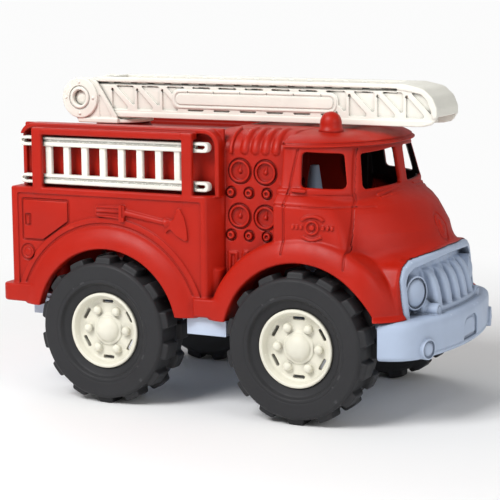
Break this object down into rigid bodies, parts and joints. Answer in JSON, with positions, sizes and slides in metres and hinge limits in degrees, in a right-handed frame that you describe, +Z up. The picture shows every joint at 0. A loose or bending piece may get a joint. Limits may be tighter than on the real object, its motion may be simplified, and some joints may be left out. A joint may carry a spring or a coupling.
{
  "type": "toy fire engine",
  "caption": "Moulded-plastic push-along toy fire engine with rolling wheelsets, a swivelling and raising aerial ladder and lift-off side ladders.",
  "frame": {"origin": "on the ground, on the centreline, under the middle of the overall length", "axes": "+X towards the front bumper, +Y towards the toy's left side, +Z up"},
  "size_m": [0.2762, 0.1588, 0.1904],
  "materials": {
    "body_red": "satin",
    "fascia_grey": "satin",
    "ladder_white": "satin",
    "hub_cream": "satin",
    "tyre_black": "satin",
    "steel": "satin"
  },
  "bodies": {
    "body": {"body_shell": "body_red", "right_beacon": "body_red", "left_beacon": "body_red", "chassis_tray": "fascia_grey", "front_fascia": "fascia_grey", "front_axle_keeper": "fascia_grey", "rear_axle_keeper": "fascia_grey", "chassis_screws": "steel", "fascia_screws": "steel", "keeper_screws": "steel"},
    "front_wheelset": {"front_axle": "steel", "front_right_hub": "hub_cream", "front_left_hub": "hub_cream", "front_right_tyre": "tyre_black", "front_left_tyre": "tyre_black"},
    "rear_wheelset": {"rear_axle": "steel", "rear_right_hub": "hub_cream", "rear_left_hub": "hub_cream", "rear_right_tyre": "tyre_black", "rear_left_tyre": "tyre_black"},
    "turntable": {"turntable": "ladder_white", "turntable_retainer": "ladder_white", "turntable_screw": "steel"},
    "ladder": {"aerial_ladder": "ladder_white", "ladder_pivot_pin": "ladder_white"},
    "right_ladder": {"right_side_ladder": "ladder_white"},
    "left_ladder": {"left_side_ladder": "ladder_white"}
  },
  "joints": [
    {"name": "front_wheels_roll", "type": "hinge", "parent": "body", "child": "front_wheelset", "pos_m": [0.06075, 0, 0.044], "axis": [0, 1, 0], "continuous": true},
    {"name": "rear_wheels_roll", "type": "hinge", "parent": "body", "child": "rear_wheelset", "pos_m": [-0.06455, 0, 0.044], "axis": [0, 1, 0], "continuous": true},
    {"name": "turntable_swivel", "type": "hinge", "parent": "body", "child": "turntable", "pos_m": [-0.0939, 0, 0.162], "axis": [0, 0, 1], "continuous": true},
    {"name": "ladder_raise", "type": "hinge", "parent": "turntable", "child": "ladder", "pos_m": [-0.1129, 0, 0.1773], "axis": [0, -1, 0], "range_deg": [0, 75]},
    {"name": "right_side_ladder_slide", "type": "slide", "parent": "body", "child": "right_ladder", "axis": [-1, 0, 0], "range_m": [0, 0.13]},
    {"name": "left_side_ladder_slide", "type": "slide", "parent": "body", "child": "left_ladder", "axis": [-1, 0, 0], "range_m": [0, 0.13]}
  ]
}
